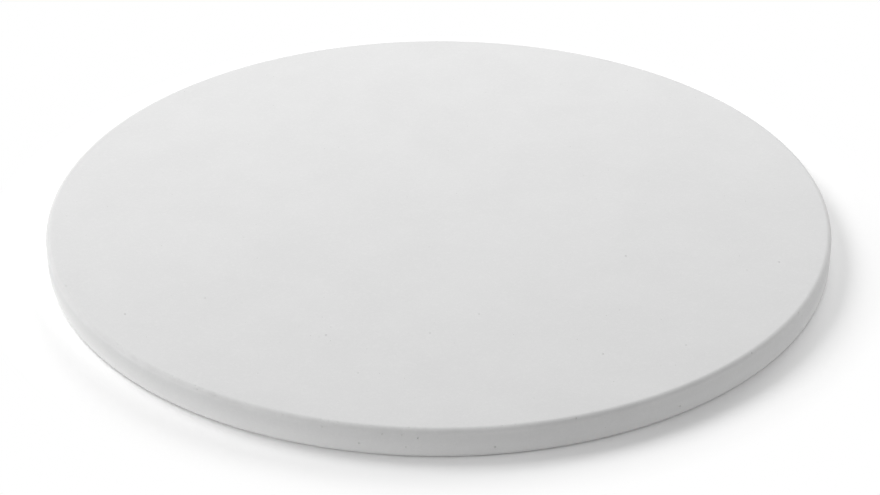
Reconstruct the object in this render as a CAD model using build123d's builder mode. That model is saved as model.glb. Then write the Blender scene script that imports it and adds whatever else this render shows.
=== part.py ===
from build123d import *
import os

# A round pizza stone: one slab of pressed and fired cordierite. It lies flat, its lower face on
# Z = 0 and its axis on the Z axis.

# Driving dimensions, in millimetres.
STONE_DIAMETER = 380.0
STONE_THICKNESS = 14.5
BAKING_EDGE_RADIUS = 2.5
RESTING_EDGE_RADIUS = 2.5

os.makedirs("parts", exist_ok=True)

# The slab is pressed as a plain disc. Both of its rims are rounded before firing: a sharp rim would
# chip, and a dough would catch on it.
with BuildPart() as baking_stone:
    with BuildSketch(Plane.XY):
        Circle(STONE_DIAMETER / 2)
    extrude(amount=STONE_THICKNESS)
    rims = baking_stone.edges().filter_by(GeomType.CIRCLE).group_by(Axis.Z)
    fillet(rims[-1], BAKING_EDGE_RADIUS)
    fillet(rims[0], RESTING_EDGE_RADIUS)

baking_stone.part.label = "baking_stone"
export_step(baking_stone.part, "parts/baking_stone.step")
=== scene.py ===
import math
import random

import bmesh
import bpy
from bpy.props import FloatProperty, FloatVectorProperty, IntProperty, PointerProperty
from mathutils import Euler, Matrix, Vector


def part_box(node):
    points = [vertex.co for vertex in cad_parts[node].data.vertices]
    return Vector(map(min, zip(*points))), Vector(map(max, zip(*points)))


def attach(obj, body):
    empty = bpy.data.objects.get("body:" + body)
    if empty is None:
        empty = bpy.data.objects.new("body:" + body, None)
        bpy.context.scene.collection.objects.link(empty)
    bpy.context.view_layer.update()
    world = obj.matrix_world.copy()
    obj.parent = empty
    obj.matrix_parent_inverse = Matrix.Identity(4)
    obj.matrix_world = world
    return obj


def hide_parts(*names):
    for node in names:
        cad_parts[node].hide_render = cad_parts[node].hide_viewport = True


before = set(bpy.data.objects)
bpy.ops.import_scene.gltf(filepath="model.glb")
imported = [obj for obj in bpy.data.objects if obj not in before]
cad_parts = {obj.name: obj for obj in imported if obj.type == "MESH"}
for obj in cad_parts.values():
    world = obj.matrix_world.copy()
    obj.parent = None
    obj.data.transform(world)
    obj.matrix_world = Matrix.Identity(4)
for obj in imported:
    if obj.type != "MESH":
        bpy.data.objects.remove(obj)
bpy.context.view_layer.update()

bl_info = {
    "name": "Pizza stone",
    "version": (1, 0, 0),
    "blender": (4, 5, 0),
    "location": "3D View > Sidebar > Pizza Stone",
    "description": "Models a round slab of pressed and fired cordierite and its studio",
    "category": "Add Mesh",
}

MM = 0.001
UP = Vector((0, 0, 1))

# The slab's size comes from the frame: its lower face lies on Z = 0 and its axis is the Z axis.
STONE_NODE = "baking_stone"
STONE_LOW, STONE_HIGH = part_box(STONE_NODE)
RIM_STEPS = 10
WALL_RINGS = 4
FLAT_MARGIN = 0.4 * MM
SMOOTH_ANGLE = math.radians(30)

# Corners this near to a height lie at it, and corners this near to each other are merged.
LEVEL_GAP = 0.01 * MM
MERGE_GAP = 0.001 * MM

# The rim of the baking face is worn, and most where the slab was set down and dragged. A share of
# the wear is the same all round, and the rest falls off on both sides of the worn side.
WEAR_DEPTH = 0.3 * MM
WEAR_SIZE = 5 * MM
WORN_SIDE = math.radians(243)
EVEN_WEAR_SHARE = 0.25
WEAR_FALLOFF = 4

# The photograph's frame, and the places in it where a pit or a nick shows.
FRAME_WIDTH = 880
FRAME_HEIGHT = 495
DEEP_FACE_PITS_PX = (
    (66, 286), (205, 298), (125, 314), (358, 373), (430, 333), (326, 335), (479, 314), (626, 256),
    (779, 262), (603, 354), (686, 345),
)
SHALLOW_FACE_PITS_PX = (
    (113, 326), (182, 341), (242, 303), (195, 362), (299, 326), (319, 337), (455, 343), (415, 398),
    (334, 412), (747, 270), (698, 270), (534, 398), (522, 301),
)
DEEP_WALL_PITS_PX = (
    (382, 434), (402, 435), (418, 438), (359, 443), (406, 447), (495, 447), (577, 418), (680, 406),
    (753, 356),
)
SHALLOW_WALL_PITS_PX = ((322, 427), (282, 417), (800, 313), (196, 390), (214, 398))
RIM_NICKS_PX = ((178, 380), (157, 368), (236, 400), (262, 407))

# Smallest and largest radius of the pebbles that cut the pits and nicks. No pixel names the fine
# pits, or the grains that have broken out of the worn rim.
DEEP_FACE_SIZES = (0.34 * MM, 0.43 * MM)
DEEP_WALL_SIZES = (0.38 * MM, 0.47 * MM)
SHALLOW_FACE_SIZES = (0.2 * MM, 0.26 * MM)
SHALLOW_WALL_SIZES = (0.33 * MM, 0.42 * MM)
NICK_SIZES = (0.23 * MM, 0.28 * MM)
FINE_PIT_SIZES = (0.12 * MM, 0.22 * MM)
CRUMB_SIZES = (0.45 * MM, 0.8 * MM)

# Room between two pebbles, and between a face's fine pits and its rim. The grains broke out about
# the worn side, 30 to 80 degrees up the rounded rim, and the middles of their pebbles stand out of
# the rim by a share of their radius.
PIT_GAP = 0.15 * MM
RIM_GAP = 2 * MM
CRUMB_SPREAD = math.radians(17)
CRUMB_TILTS = (30, 80)
CRUMB_OUT_SHARE = 0.5

# A pebble's widths as shares of its size, how far it leans, how rough it is, and how finely it is
# split, which is finer where the pit shows in the photograph.
PEBBLE_SHARES = (1, 0.8, 0.9)
PEBBLE_LEAN = 0.3
PEBBLE_ROUGHNESS = 0.04 * MM
SEEN_SPLITS, SMALL_SPLITS = 2, 1
PIT_SEED, ROUGH_SEED = 11, 5

# Sizes of the patterns in the fired surface. The real grains are about 0.2 mm wide and the grog
# 0.5 mm, too fine to show where a pixel of the render is 0.4 mm wide, so both are drawn coarser.
CLOUD_SIZE = 25 * MM
GRAIN_SIZE = 0.6 * MM
GRAIN_DEPTH = 0.02 * MM
GROG_SIZE = 1.2 * MM
IRON_SPACING = 8 * MM
IRON_RADIUS = 0.25 * MM
# Depths under the surface where the painted shade of pits, nicks and worn dips starts and where it
# is full.
PIT_SHADE_START_DEPTH = 0.1 * MM
PIT_SHADE_FULL_DEPTH = 0.4 * MM
UNEVEN_SIZE = 12 * MM
UNEVEN_DEPTH = 0.03 * MM

# How strongly each layer of the fired surface takes its own colour. The grain's hollows, the pits
# and the upper wall take painted shade, and the wall's foot takes painted light.
GRAIN_SHADE_SHARE = 0.07
GROG_SHARE = 0.08
IRON_SHARE = 0.5
PIT_SHADE_SHARE = 0.4
WALL_SHADE_SHARE = 0.2
FOOT_LIGHT_SHARE = 0.35
RUB_SHARE = 0.1

# Where each layer starts and where it is full. The first are levels of its own noise. The shares
# are of a speck's radius for the iron, of the thickness for the painted shade of the upper wall and
# the painted light of the foot, and of the rounded rim's radius for the wall and the rubbed rim.
CLOUD_START, CLOUD_FULL = 0.35, 0.65
GRAIN_START, GRAIN_FULL = 0.5, 0.25
GROG_START = 0.6
IRON_FULL_SHARE = 0.6
WALL_FULL_SHARE = 0.75
WALL_SHADE_START_SHARE, WALL_SHADE_FULL_SHARE = 0.2, 0.75
FOOT_LIGHT_START_SHARE = 0.6
RUB_START_SHARE, RUB_FULL_SHARE = 1.3, 0.7

# Cordierite's refraction, the roughness in the hollows and on the grains with their levels in the
# grain's noise, and what rubbing changes in it.
CORDIERITE_IOR = 1.55
HOLLOW_LEVEL, GRAIN_LEVEL = 0.25, 0.75
HOLLOW_ROUGHNESS, GRAIN_ROUGHNESS = 0.95, 0.8
RUB_ROUGHNESS = -0.15

# Disc-shaped softboxes, aimed at the middle of the floor: name, azimuth and elevation in degrees,
# distance and width in metres, power in watts.
SOFTBOXES = (
    ("key_softbox", 150, 50, 1.3, 0.7, 8.3),
    ("left_softbox", 195, 10, 4.0, 2.4, 66),
    ("back_softbox", 60, 35, 1.1, 0.66, 4.35),
    ("right_softbox", 0, 8, 2.0, 0.6, 4.4),
)

# How far from the wall the paper starts to burn out to plain white, and where it has.
WHITE_START = 16 * MM
WHITE_FULL = 36 * MM

# Point of the floor that the lens is aimed at, which is the photograph's own middle, and how far
# the camera sees in metres.
CAMERA_AIM = Vector((0.58 * MM, -13.2 * MM, 0))
SENSOR_WIDTH_MM = 36
SIGHT_LIMIT = 50

# Sockets of a Mix node that mixes colours.
MIX_FACTOR, MIX_UNDER, MIX_OVER, MIXED = 0, 6, 7, 2


def linear(code):
    """The linear colour of an sRGB hex code, as the shader sockets take it."""
    channels = [int(code[i:i + 2], 16) / 255 for i in (1, 3, 5)]
    return tuple(c / 12.92 if c <= 0.04045 else ((c + 0.055) / 1.055) ** 2.4 for c in channels)


class StoneSettings(bpy.types.PropertyGroup):
    """Sizes and colours of the baking slab"""

    radius: FloatProperty(
        name="Radius", description="From the axis to the wall",
        default=STONE_HIGH[0], min=0.1, max=0.25, precision=4, unit="LENGTH", subtype="DISTANCE")
    thickness: FloatProperty(
        name="Thickness", description="From the resting face to the baking face",
        default=STONE_HIGH[2] - STONE_LOW[2], min=0.008, max=0.03, precision=4,
        unit="LENGTH", subtype="DISTANCE")
    baking_edge: FloatProperty(
        name="Baking edge", description="Radius of the rounded rim of the baking face",
        default=2.5 * MM, min=0.5 * MM, max=3.5 * MM, precision=4,
        unit="LENGTH", subtype="DISTANCE")
    resting_edge: FloatProperty(
        name="Resting edge", description="Radius of the rounded rim of the resting face",
        default=2.5 * MM, min=0.5 * MM, max=3.5 * MM, precision=4,
        unit="LENGTH", subtype="DISTANCE")
    sides: IntProperty(
        name="Sides", description="Number of flats round the wall, a multiple of four",
        default=512, min=64, max=640, step=4)
    fine_pits: IntProperty(
        name="Fine pits", description="Number of fine pits strewn over the slab",
        default=120, min=1, max=600)
    crumbs: IntProperty(
        name="Crumbs", description="Number of grains broken out of the worn rim",
        default=90, min=0, max=300)
    body_colour: FloatVectorProperty(
        name="Body", description="Colour of the fired body",
        subtype="COLOR", size=3, min=0, max=1, default=linear("#D6D6D6"))
    cloud_colour: FloatVectorProperty(
        name="Clouds", description="Colour of the body where it was pressed harder",
        subtype="COLOR", size=3, min=0, max=1, default=linear("#D8D8D8"))
    # Colour of the painted shade in the grain's hollows, the pits and nicks and the upper wall.
    painted_shade_colour: FloatVectorProperty(
        name="Hollows", description="Colour of the hollows between the grains",
        subtype="COLOR", size=3, min=0, max=1, default=linear("#A8A8A7"))
    # Also the colour of the painted light on the wall's foot.
    grog_and_painted_light_colour: FloatVectorProperty(
        name="Grog", description="Colour of the pale grains of grog, and of rubbed rims",
        subtype="COLOR", size=3, min=0, max=1, default=linear("#EEEEED"))
    iron_colour: FloatVectorProperty(
        name="Iron specks", description="Colour of the specks of iron in the clay",
        subtype="COLOR", size=3, min=0, max=1, default=linear("#7C7976"))


class StageSettings(bpy.types.PropertyGroup):
    """The camera, the light and the floor"""

    lens: FloatProperty(
        name="Lens", description="Focal length of the camera, in millimetres",
        default=100, min=20, max=300, unit="CAMERA", subtype="DISTANCE_CAMERA")
    distance: FloatProperty(
        name="Distance", description="From the camera to the middle of the resting face",
        default=1.2, min=0.3, max=5, unit="LENGTH", subtype="DISTANCE")
    elevation: FloatProperty(
        name="Elevation", description="Height of the camera above the horizon",
        default=math.radians(30.1), min=0, max=math.pi / 2, unit="ROTATION", subtype="ANGLE")
    room_light: FloatProperty(
        name="Room light", description="Strength of the even white light from all round",
        default=0.446, min=0, max=2)
    floor_size: FloatProperty(
        name="Floor size", description="Side of the square studio floor",
        default=12, min=2, max=50, unit="LENGTH", subtype="DISTANCE")
    floor_colour: FloatVectorProperty(
        name="Floor", description="Colour of the floor as the slab is lit by it",
        subtype="COLOR", size=3, min=0, max=1, default=linear("#F6F6F6"))


def deselect():
    bpy.ops.object.select_all(action="DESELECT")


def level(corner, height):
    return abs(corner.z - height) < LEVEL_GAP


def select_corners(piece, wanted):
    """Selects the corners that pass the test, and what lies between them, in edit mode."""
    bpy.ops.mesh.select_mode(type="VERT")
    bpy.ops.mesh.select_all(action="DESELECT")
    mesh = bmesh.from_edit_mesh(piece.data)
    for corner in mesh.verts:
        corner.select_set(wanted(corner.co))
    mesh.select_flush(True)
    bmesh.update_edit_mesh(piece.data)


def apply_modifier(piece, modifier):
    deselect()
    piece.select_set(True)
    bpy.context.view_layer.objects.active = piece
    bpy.ops.object.modifier_apply(modifier=modifier.name)


def press_slab(stone):
    """The pressed disc: a cylinder with rounded rims and its faces filled with even squares."""
    deselect()
    bpy.ops.mesh.primitive_cylinder_add(
        vertices=stone.sides, radius=stone.radius, depth=stone.thickness, end_fill_type="NGON",
        location=(0, 0, stone.thickness / 2))
    slab = bpy.context.active_object
    slab.name = "fired_slab"
    bpy.ops.object.transform_apply(location=True, rotation=True, scale=True)
    bpy.ops.object.mode_set(mode="EDIT")
    rims = ((stone.thickness, stone.baking_edge), (0, stone.resting_edge))
    for height, edge in rims:
        select_corners(slab, lambda corner: level(corner, height))
        bpy.ops.mesh.bevel(offset=edge, segments=RIM_STEPS, profile=0.5, affect="EDGES")
    for height, edge in rims:
        flat = stone.radius - edge
        select_corners(slab, lambda corner: level(corner, height))
        bpy.ops.mesh.inset(thickness=FLAT_MARGIN)
        bpy.ops.mesh.delete(type="ONLY_FACE")
        inside = flat - FLAT_MARGIN / 2
        select_corners(slab, lambda corner: level(corner, height) and corner.xy.length < inside)
        bpy.ops.mesh.fill_grid(span=stone.sides // 4)
    straight = stone.thickness - stone.baking_edge - stone.resting_edge
    for ring in range(WALL_RINGS):
        height = stone.resting_edge + straight * (ring + 1) / (WALL_RINGS + 1)
        bpy.ops.mesh.select_all(action="SELECT")
        bpy.ops.mesh.bisect(plane_co=(0, 0, height), plane_no=(0, 0, 1))
    bpy.ops.object.mode_set(mode="OBJECT")
    return slab


def wear_rim(slab, stone):
    """Wears the rounded rim of the baking face unevenly, always inwards."""
    rim = slab.vertex_groups.new(name="worn_rim")
    middle = Vector((stone.radius - stone.baking_edge, stone.thickness - stone.baking_edge))
    for corner in slab.data.vertices:
        out = Vector((corner.co.xy.length, corner.co.z)) - middle
        if out.x > 0 and out.y > 0:
            turn = math.atan2(corner.co.y, corner.co.x) - WORN_SIDE
            side = EVEN_WEAR_SHARE + (1 - EVEN_WEAR_SHARE) * max(0, math.cos(turn)) ** WEAR_FALLOFF
            worn = side * math.sin(2 * out.angle_signed(Vector((1, 0))))
            rim.add([corner.index], worn, "REPLACE")
    grit = bpy.data.textures.new("rim_wear", "CLOUDS")
    grit.noise_scale = WEAR_SIZE
    grit.noise_depth = 1
    wear = slab.modifiers.new("wear", "DISPLACE")
    wear.texture = grit
    wear.texture_coords = "LOCAL"
    wear.vertex_group = rim.name
    wear.mid_level = 0
    wear.strength = -WEAR_DEPTH
    apply_modifier(slab, wear)
    slab.vertex_groups.clear()


def camera_place(stage):
    """Where the camera stands, and how it is turned towards its aim."""
    back, height = math.cos(stage.elevation), math.sin(stage.elevation)
    place = Vector((0, -back, height)) * stage.distance
    return place, (CAMERA_AIM - place).to_track_quat("-Z", "Y")


def seen_at(pixel, stone, stage):
    """The point of the slab that a pixel of the photograph shows, and its outward normal."""
    place, turn = camera_place(stage)
    focal = stage.lens / SENSOR_WIDTH_MM * FRAME_WIDTH
    right, up = (pixel[0] - FRAME_WIDTH / 2) / focal, (FRAME_HEIGHT / 2 - pixel[1]) / focal
    ray = turn @ Vector((right, up, -1))
    point = place + ray * (stone.thickness - place.z) / ray.z
    flat, shoulder = stone.radius - stone.baking_edge, stone.thickness - stone.baking_edge
    if point.xy.length < flat:
        return point, UP
    across, along = ray.xy.dot(ray.xy), place.xy.dot(ray.xy)
    reach = along * along - across * (place.xy.dot(place.xy) - stone.radius ** 2)
    point = place + ray * (-along - math.sqrt(max(reach, 0))) / across
    outward = Vector((point.x, point.y, 0)).normalized()
    if point.z < shoulder:
        return point, outward
    slanted = (outward + UP).normalized()
    return outward * flat + UP * shoulder + slanted * stone.baking_edge, slanted


def strewn(stone, dice):
    """Fine pits strewn evenly over the faces and the wall: places, outward normals and sizes."""
    face, wall = math.pi * stone.radius ** 2, math.tau * stone.radius * stone.thickness
    for _ in range(stone.fine_pits):
        turn, pick = dice.uniform(0, math.tau), dice.uniform(0, 2 * face + wall)
        outward = Vector((math.cos(turn), math.sin(turn), 0))
        size = dice.uniform(*FINE_PIT_SIZES)
        if pick < wall:
            height = dice.uniform(stone.resting_edge, stone.thickness - stone.baking_edge)
            yield outward * stone.radius + UP * height, outward, size
        else:
            upper = pick < wall + face
            edge = stone.baking_edge if upper else stone.resting_edge
            spot = outward * (stone.radius - edge - RIM_GAP) * math.sqrt(dice.random())
            yield (spot + UP * stone.thickness, UP, size) if upper else (spot, -UP, size)


def crumbled(stone, dice):
    """Grains broken out of the worn side of the rim: places, outward normals and sizes."""
    for _ in range(stone.crumbs):
        turn = dice.gauss(WORN_SIDE, CRUMB_SPREAD)
        tilt = math.radians(dice.uniform(*CRUMB_TILTS))
        across, along, rise = math.cos(turn), math.sin(turn), math.cos(tilt)
        slanted = Vector((across * rise, along * rise, math.sin(tilt)))
        middle = Vector((across, along, 0)) * (stone.radius - stone.baking_edge)
        middle.z = stone.thickness - stone.baking_edge
        size = dice.uniform(*CRUMB_SIZES)
        yield middle + slanted * (stone.baking_edge + CRUMB_OUT_SHARE * size), slanted, size


def pit_pebbles(stone, stage):
    """Rough pebbles, partly sunk in the slab wherever it has a pit or a nick, as one mesh."""
    dice = random.Random(PIT_SEED)
    hollows = []
    for pixels, sizes in (
            (DEEP_FACE_PITS_PX, DEEP_FACE_SIZES), (DEEP_WALL_PITS_PX, DEEP_WALL_SIZES),
            (SHALLOW_FACE_PITS_PX, SHALLOW_FACE_SIZES), (SHALLOW_WALL_PITS_PX, SHALLOW_WALL_SIZES),
            (RIM_NICKS_PX, NICK_SIZES)):
        for pixel in pixels:
            hollows.append((*seen_at(pixel, stone, stage), dice.uniform(*sizes)))
    seen = len(hollows)
    for hollow in (*strewn(stone, dice), *crumbled(stone, dice)):
        if all((hollow[0] - other[0]).length > hollow[2] + other[2] + PIT_GAP for other in hollows):
            hollows.append(hollow)
    deselect()
    pebbles = None
    for number, (point, normal, size) in enumerate(hollows):
        lean, tip = dice.uniform(-PEBBLE_LEAN, PEBBLE_LEAN), dice.uniform(-PEBBLE_LEAN, PEBBLE_LEAN)
        spin = Euler((lean, tip, dice.uniform(0, math.tau)))
        turn = normal.to_track_quat("Z", "Y") @ spin.to_quaternion()
        bpy.ops.mesh.primitive_ico_sphere_add(
            subdivisions=SEEN_SPLITS if number < seen else SMALL_SPLITS, radius=size,
            location=point, scale=PEBBLE_SHARES, rotation=turn.to_euler())
        if pebbles is None:
            pebbles = bpy.context.active_object
            pebbles.name = "pit_pebbles"
            bpy.ops.object.transform_apply(location=True, rotation=True, scale=True)
            bpy.ops.object.mode_set(mode="EDIT")
    bpy.ops.mesh.select_all(action="SELECT")
    bpy.ops.transform.vertex_random(offset=PEBBLE_ROUGHNESS, seed=ROUGH_SEED)
    bpy.ops.object.mode_set(mode="OBJECT")
    return pebbles


def cut_pits(slab, stone, stage):
    """Cuts out the pits and nicks, and clears the slivers and the slot that this leaves."""
    pebbles = pit_pebbles(stone, stage)
    cut = slab.modifiers.new("pits", "BOOLEAN")
    cut.operation = "DIFFERENCE"
    cut.solver = "MANIFOLD"
    cut.object = pebbles
    apply_modifier(slab, cut)
    slab.data.materials.clear()
    bpy.data.objects.remove(pebbles)
    bpy.ops.object.mode_set(mode="EDIT")
    bpy.ops.mesh.select_all(action="SELECT")
    bpy.ops.mesh.remove_doubles(threshold=MERGE_GAP)
    closed = all(edge.is_manifold for edge in bmesh.from_edit_mesh(slab.data).edges)
    bpy.ops.object.mode_set(mode="OBJECT")
    if not closed:
        raise RuntimeError("The slab's surface is open after its pits were cut")


def add_node(tree, kind, settings=None, values=None, links=None):
    """Adds a shader node with its settings, its sockets' values and the outputs that feed it."""
    node = tree.nodes.new(kind)
    for name, value in (settings or {}).items():
        setattr(node, name, value)
    for name, value in (values or {}).items():
        node.inputs[name].default_value = value
    for name, source in (links or {}).items():
        tree.links.new(source, node.inputs[name])
    return node


def pressed_cordierite(stone):
    """Cordierite clay with fine grog, pressed in a steel die and fired without a glaze.

    It gives the eye a dull, nearly white, neutral surface: a sandy grain, pale grains of grog and
    a few specks of iron cut by the surface, faint clouds where the clay was pressed harder, and an
    upper rim that use has rubbed paler. Painted shade darkens the grain's hollows, the pits, nicks
    and worn dips, and the wall towards its upper rim; painted light makes the wall paler at its
    foot.
    """
    material = bpy.data.materials.new("pressed_cordierite")
    material.use_nodes = True
    tree = material.node_tree
    coords = add_node(tree, "ShaderNodeTexCoord").outputs["Object"]

    # Where a point lies: how far from the axis, how high, and how far out of the slab's inner core,
    # which is as far as the rims' radius wherever the surface has no pit, nick or worn dip.
    flat = add_node(
        tree, "ShaderNodeVectorMath", {"operation": "MULTIPLY"}, {1: (1, 1, 0)}, {0: coords})
    reach = add_node(
        tree, "ShaderNodeVectorMath", {"operation": "LENGTH"}, links={0: flat.outputs["Vector"]})
    height = add_node(tree, "ShaderNodeSeparateXYZ", links={"Vector": coords}).outputs["Z"]
    past_wall = add_node(
        tree, "ShaderNodeMath", {"operation": "SUBTRACT"}, {1: stone.radius - stone.baking_edge},
        {0: reach.outputs["Value"]})
    from_middle = add_node(
        tree, "ShaderNodeMath", {"operation": "SUBTRACT"}, {1: stone.thickness / 2}, {0: height})
    aside = add_node(
        tree, "ShaderNodeMath", {"operation": "ABSOLUTE"}, links={0: from_middle.outputs["Value"]})
    past_face = add_node(
        tree, "ShaderNodeMath", {"operation": "SUBTRACT"},
        {1: stone.thickness / 2 - stone.baking_edge}, {0: aside.outputs["Value"]})
    past_both = add_node(
        tree, "ShaderNodeCombineXYZ",
        links={"X": past_wall.outputs["Value"], "Y": past_face.outputs["Value"]})
    outside = add_node(
        tree, "ShaderNodeVectorMath", {"operation": "MAXIMUM"},
        links={0: past_both.outputs["Vector"]})
    core_distance = add_node(
        tree, "ShaderNodeVectorMath", {"operation": "LENGTH"}, links={0: outside.outputs["Vector"]})

    # Clouds of a slightly different tone, about as wide as a fingertip.
    clouds = add_node(
        tree, "ShaderNodeTexNoise", values={"Scale": 1 / CLOUD_SIZE, "Detail": 3},
        links={"Vector": coords})
    cloudy = add_node(
        tree, "ShaderNodeMapRange", values={"From Min": CLOUD_START, "From Max": CLOUD_FULL},
        links={"Value": clouds.outputs["Fac"]})
    body = add_node(
        tree, "ShaderNodeMix", {"data_type": "RGBA"},
        {MIX_UNDER: (*stone.body_colour, 1), MIX_OVER: (*stone.cloud_colour, 1)},
        {MIX_FACTOR: cloudy.outputs["Result"]})

    # Sandy grain, with painted shade in the hollows between the grains.
    grain = add_node(
        tree, "ShaderNodeTexNoise", values={"Scale": 1 / GRAIN_SIZE, "Detail": 2},
        links={"Vector": coords})
    hollows = add_node(
        tree, "ShaderNodeMapRange",
        values={"From Min": GRAIN_START, "From Max": GRAIN_FULL, "To Max": GRAIN_SHADE_SHARE},
        links={"Value": grain.outputs["Fac"]})
    sandy = add_node(
        tree, "ShaderNodeMix", {"data_type": "RGBA"}, {MIX_OVER: (*stone.painted_shade_colour, 1)},
        {MIX_FACTOR: hollows.outputs["Result"], MIX_UNDER: body.outputs[MIXED]})

    # Grog: each grain of it has its own paleness.
    grog = add_node(
        tree, "ShaderNodeTexVoronoi", values={"Scale": 1 / GROG_SIZE}, links={"Vector": coords})
    paleness = add_node(tree, "ShaderNodeSeparateColor", links={"Color": grog.outputs["Color"]})
    pale = add_node(
        tree, "ShaderNodeMapRange", values={"From Min": GROG_START, "To Max": GROG_SHARE},
        links={"Value": paleness.outputs["Red"]})
    grogged = add_node(
        tree, "ShaderNodeMix", {"data_type": "RGBA"}, {MIX_OVER: (*stone.grog_and_painted_light_colour, 1)},
        {MIX_FACTOR: pale.outputs["Result"], MIX_UNDER: sandy.outputs[MIXED]})

    # Iron specks: dots where the surface cuts a grain, so no two are of one size.
    iron = add_node(
        tree, "ShaderNodeTexVoronoi", values={"Scale": 1 / IRON_SPACING}, links={"Vector": coords})
    specks = add_node(
        tree, "ShaderNodeMapRange",
        values={"From Min": IRON_RADIUS / IRON_SPACING,
                "From Max": IRON_FULL_SHARE * IRON_RADIUS / IRON_SPACING, "To Max": IRON_SHARE},
        links={"Value": iron.outputs["Distance"]})
    specked = add_node(
        tree, "ShaderNodeMix", {"data_type": "RGBA"}, {MIX_OVER: (*stone.iron_colour, 1)},
        {MIX_FACTOR: specks.outputs["Result"], MIX_UNDER: grogged.outputs[MIXED]})

    # Painted shade in the pits, nicks and worn dips of the rim: the deeper a point lies under the
    # whole surface, the darker it is.
    pit_shade = add_node(
        tree, "ShaderNodeMapRange",
        values={"From Min": stone.baking_edge - PIT_SHADE_START_DEPTH,
                "From Max": stone.baking_edge - PIT_SHADE_FULL_DEPTH, "To Max": PIT_SHADE_SHARE},
        links={"Value": core_distance.outputs["Value"]})
    pit_shaded = add_node(
        tree, "ShaderNodeMix", {"data_type": "RGBA"}, {MIX_OVER: (*stone.painted_shade_colour, 1)},
        {MIX_FACTOR: pit_shade.outputs["Result"], MIX_UNDER: specked.outputs[MIXED]})

    # Painted shade: the wall is darker towards its upper rim.
    outer = add_node(
        tree, "ShaderNodeMapRange",
        values={"From Max": WALL_FULL_SHARE * stone.baking_edge},
        links={"Value": past_wall.outputs["Value"]})
    wall_shade = add_node(
        tree, "ShaderNodeMapRange",
        values={"From Min": WALL_SHADE_START_SHARE * stone.thickness,
                "From Max": WALL_SHADE_FULL_SHARE * stone.thickness, "To Max": WALL_SHADE_SHARE},
        links={"Value": height})
    wall_shade_share = add_node(
        tree, "ShaderNodeMath", {"operation": "MULTIPLY"},
        links={0: outer.outputs["Result"], 1: wall_shade.outputs["Result"]})
    wall_shaded = add_node(
        tree, "ShaderNodeMix", {"data_type": "RGBA"}, {MIX_OVER: (*stone.painted_shade_colour, 1)},
        {MIX_FACTOR: wall_shade_share.outputs["Value"], MIX_UNDER: pit_shaded.outputs[MIXED]})

    # Painted light: the wall is paler towards its foot.
    foot_light = add_node(
        tree, "ShaderNodeMapRange",
        values={"From Min": FOOT_LIGHT_START_SHARE * stone.thickness, "From Max": 0,
                "To Max": FOOT_LIGHT_SHARE},
        links={"Value": height})
    foot_light_share = add_node(
        tree, "ShaderNodeMath", {"operation": "MULTIPLY"},
        links={0: outer.outputs["Result"], 1: foot_light.outputs["Result"]})
    foot_lit = add_node(
        tree, "ShaderNodeMix", {"data_type": "RGBA"}, {MIX_OVER: (*stone.grog_and_painted_light_colour, 1)},
        {MIX_FACTOR: foot_light_share.outputs["Value"], MIX_UNDER: wall_shaded.outputs[MIXED]})

    # The upper rim is rubbed a little paler where the clouds are.
    upper = add_node(
        tree, "ShaderNodeMapRange",
        values={"From Min": stone.thickness - RUB_START_SHARE * stone.baking_edge,
                "From Max": stone.thickness - RUB_FULL_SHARE * stone.baking_edge},
        links={"Value": height})
    rim = add_node(
        tree, "ShaderNodeMath", {"operation": "MULTIPLY"},
        links={0: outer.outputs["Result"], 1: upper.outputs["Result"]})
    rubbed = add_node(
        tree, "ShaderNodeMath", {"operation": "MULTIPLY"},
        links={0: rim.outputs["Value"], 1: cloudy.outputs["Result"]})
    rub_share = add_node(
        tree, "ShaderNodeMath", {"operation": "MULTIPLY"}, {1: RUB_SHARE},
        {0: rubbed.outputs["Value"]})
    colour = add_node(
        tree, "ShaderNodeMix", {"data_type": "RGBA"}, {MIX_OVER: (*stone.grog_and_painted_light_colour, 1)},
        {MIX_FACTOR: rub_share.outputs["Value"], MIX_UNDER: foot_lit.outputs[MIXED]})

    # Grains are duller in their hollows, and a rubbed rim is a little smoother.
    dull = add_node(
        tree, "ShaderNodeMapRange",
        values={"From Min": HOLLOW_LEVEL, "From Max": GRAIN_LEVEL,
                "To Min": HOLLOW_ROUGHNESS, "To Max": GRAIN_ROUGHNESS},
        links={"Value": grain.outputs["Fac"]})
    roughness = add_node(
        tree, "ShaderNodeMath", {"operation": "MULTIPLY_ADD"}, {1: RUB_ROUGHNESS},
        {0: rubbed.outputs["Value"], 2: dull.outputs["Result"]})

    # The face isn't quite even, and every grain stands a little proud.
    uneven = add_node(
        tree, "ShaderNodeTexNoise", values={"Scale": 1 / UNEVEN_SIZE, "Detail": 1},
        links={"Vector": coords})
    pressed = add_node(
        tree, "ShaderNodeBump", values={"Distance": UNEVEN_DEPTH},
        links={"Height": uneven.outputs["Fac"]})
    grainy = add_node(
        tree, "ShaderNodeBump", values={"Distance": GRAIN_DEPTH},
        links={"Height": grain.outputs["Fac"], "Normal": pressed.outputs["Normal"]})

    shader = tree.nodes["Principled BSDF"]
    shader.inputs["IOR"].default_value = CORDIERITE_IOR
    tree.links.new(colour.outputs[MIXED], shader.inputs["Base Color"])
    tree.links.new(roughness.outputs["Value"], shader.inputs["Roughness"])
    tree.links.new(grainy.outputs["Normal"], shader.inputs["Normal"])
    return material


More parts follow.
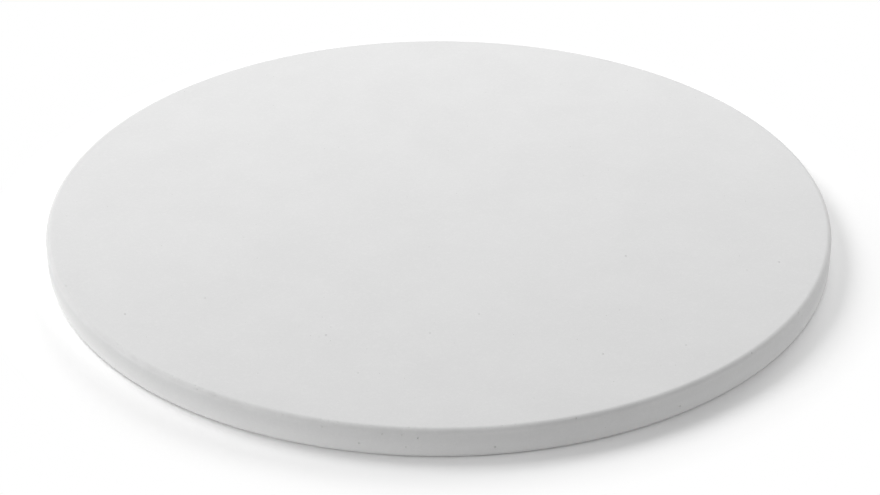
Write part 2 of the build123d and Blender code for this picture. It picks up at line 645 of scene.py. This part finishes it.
def matt_paper(stone, stage):
    """Seamless matt paper, which the camera sees as plain white wherever no shadow falls.

    It gives the eye a white with no gloss, no grain and no horizon.
    """
    material = bpy.data.materials.new("matt_paper")
    material.use_nodes = True
    tree = material.node_tree
    path = add_node(tree, "ShaderNodeLightPath")
    mirrored = add_node(
        tree, "ShaderNodeMath", {"operation": "MAXIMUM"},
        links={0: path.outputs["Is Glossy Ray"], 1: path.outputs["Is Transmission Ray"]})
    seen = add_node(
        tree, "ShaderNodeMath", {"operation": "MAXIMUM"},
        links={0: path.outputs["Is Camera Ray"], 1: mirrored.outputs["Value"]})
    paper = add_node(
        tree, "ShaderNodeMix", {"data_type": "RGBA"},
        {MIX_UNDER: (*stage.floor_colour, 1), MIX_OVER: (1, 1, 1, 1)},
        {MIX_FACTOR: seen.outputs["Value"]})
    shader = tree.nodes["Principled BSDF"]
    shader.inputs["Roughness"].default_value = 1
    shader.inputs["Specular IOR Level"].default_value = 0
    tree.links.new(paper.outputs[MIXED], shader.inputs["Base Color"])

    # Beyond the slab's shadow it is burnt out to plain white.
    coords = add_node(tree, "ShaderNodeTexCoord").outputs["Object"]
    reach = add_node(tree, "ShaderNodeVectorMath", {"operation": "LENGTH"}, links={0: coords})
    far = add_node(
        tree, "ShaderNodeMapRange", {"interpolation_type": "SMOOTHSTEP"},
        {"From Min": stone.radius + WHITE_START, "From Max": stone.radius + WHITE_FULL},
        {"Value": reach.outputs["Value"]})
    burnt = add_node(
        tree, "ShaderNodeMath", {"operation": "MULTIPLY"},
        links={0: seen.outputs["Value"], 1: far.outputs["Result"]})
    white = add_node(tree, "ShaderNodeEmission", values={"Strength": 1})
    surface = add_node(
        tree, "ShaderNodeMixShader",
        links={0: burnt.outputs["Value"], 1: shader.outputs["BSDF"], 2: white.outputs["Emission"]})
    tree.links.new(surface.outputs["Shader"], tree.nodes["Material Output"].inputs["Surface"])
    return material


def add_softbox(name, azimuth, elevation, distance, width, power):
    turn, tilt = math.radians(azimuth), math.radians(elevation)
    aside = math.cos(tilt)
    place = Vector((math.cos(turn) * aside, math.sin(turn) * aside, math.sin(tilt))) * distance
    bpy.ops.object.light_add(type="AREA", location=place)
    lamp = bpy.context.active_object
    lamp.name = name
    lamp.rotation_euler = (-place).to_track_quat("-Z", "Y").to_euler()
    lamp.data.shape = "DISK"
    lamp.data.size = width
    lamp.data.energy = power


class PIZZASTONE_OT_slab(bpy.types.Operator):
    """Model the slab and give it its fired cordierite surface"""

    bl_idname = "pizza_stone.slab"
    bl_label = "Slab"
    bl_options = {"REGISTER", "UNDO"}

    def execute(self, context):
        stone = context.scene.pizza_stone
        slab = press_slab(stone)
        wear_rim(slab, stone)
        cut_pits(slab, stone, context.scene.pizza_stage)
        bpy.ops.object.shade_smooth_by_angle(angle=SMOOTH_ANGLE)
        slab.data.materials.append(pressed_cordierite(stone))
        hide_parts(STONE_NODE)
        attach(slab, "root")
        return {"FINISHED"}


class PIZZASTONE_OT_stage(bpy.types.Operator):
    """Lay the studio floor, set the lamps and aim the camera"""

    bl_idname = "pizza_stone.stage"
    bl_label = "Stage"
    bl_options = {"REGISTER", "UNDO"}

    def execute(self, context):
        stage = context.scene.pizza_stage
        deselect()
        bpy.ops.mesh.primitive_plane_add(size=stage.floor_size)
        floor = context.active_object
        floor.name = "studio_floor"
        floor.data.materials.append(matt_paper(context.scene.pizza_stone, stage))

        world = bpy.data.worlds.new("studio")
        world.use_nodes = True
        room = world.node_tree.nodes["Background"]
        room.inputs["Color"].default_value = (1, 1, 1, 1)
        room.inputs["Strength"].default_value = stage.room_light
        context.scene.world = world
        for softbox in SOFTBOXES:
            add_softbox(*softbox)

        place, turn = camera_place(stage)
        bpy.ops.object.camera_add(location=place, rotation=turn.to_euler())
        camera = context.active_object
        camera.name = "product_camera"
        camera.data.lens = stage.lens
        camera.data.sensor_width = SENSOR_WIDTH_MM
        camera.data.clip_end = SIGHT_LIMIT
        context.scene.camera = camera
        context.scene.view_settings.view_transform = "Standard"
        return {"FINISHED"}


class PIZZASTONE_PT_panel(bpy.types.Panel):
    """Lists the operators and their settings"""

    bl_label = "Pizza stone"
    bl_space_type = "VIEW_3D"
    bl_region_type = "UI"
    bl_category = "Pizza Stone"

    def draw(self, context):
        column = self.layout.column()
        for setting in StoneSettings.__annotations__:
            column.prop(context.scene.pizza_stone, setting)
        column.operator("pizza_stone.slab")
        column.separator()
        for setting in StageSettings.__annotations__:
            column.prop(context.scene.pizza_stage, setting)
        column.operator("pizza_stone.stage")


CLASSES = (
    StoneSettings, StageSettings, PIZZASTONE_OT_slab, PIZZASTONE_OT_stage, PIZZASTONE_PT_panel,
)


def register():
    for cls in CLASSES:
        bpy.utils.register_class(cls)
    bpy.types.Scene.pizza_stone = PointerProperty(type=StoneSettings)
    bpy.types.Scene.pizza_stage = PointerProperty(type=StageSettings)


def unregister():
    del bpy.types.Scene.pizza_stage
    del bpy.types.Scene.pizza_stone
    for cls in reversed(CLASSES):
        bpy.utils.unregister_class(cls)


def main():
    register()
    bpy.ops.pizza_stone.slab()
    bpy.ops.pizza_stone.stage()


if __name__ == "__main__":
    main()
